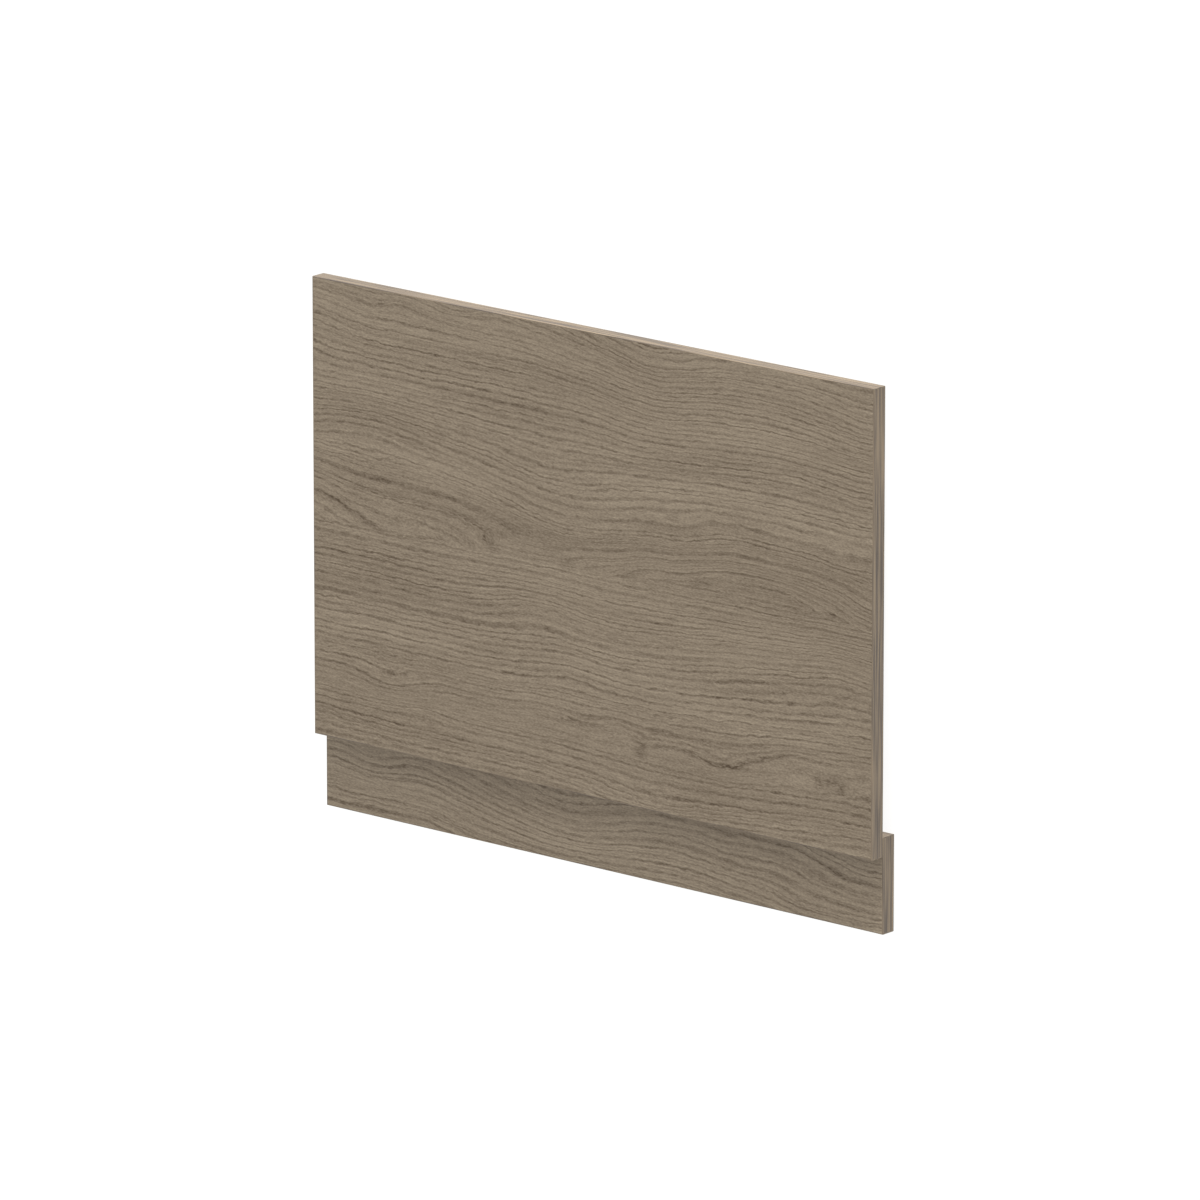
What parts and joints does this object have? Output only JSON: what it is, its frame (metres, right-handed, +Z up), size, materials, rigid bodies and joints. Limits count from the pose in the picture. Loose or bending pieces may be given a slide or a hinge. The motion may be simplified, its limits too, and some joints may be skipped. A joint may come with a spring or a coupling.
{
  "type": "bath panel",
  "caption": "Flat wood-grain bath end panel: a wide face board with a lower plinth board fixed behind its bottom edge, closing the end of a bath down to the floor.",
  "frame": {"origin": "centre of the bounding box's underside, on the floor that the panel lies on face up", "axes": "+X along the panel's width, to the right as seen from its face; +Y towards the panel's top edge, along the floor; +Z up, out of the face but for the small tilt at which the panel rests on its plinth"},
  "size_m": [0.73, 0.561, 0.0367],
  "materials": {
    "decor_board": "matt embossed wood-grain decor on both faces of a particle board",
    "edge_band": "matt wood-grain edge band, scraped flush with a small round",
    "screw_steel": "zinc-plated countersunk screw"
  },
  "bodies": {
    "root": {"main_panel": "decor_board", "main_panel_top_band": "edge_band", "main_panel_bottom_band": "edge_band", "main_panel_left_band": "edge_band", "main_panel_right_band": "edge_band", "plinth": "decor_board", "plinth_top_band": "edge_band", "plinth_bottom_band": "edge_band", "plinth_left_band": "edge_band", "plinth_right_band": "edge_band"}
  },
  "joints": []
}
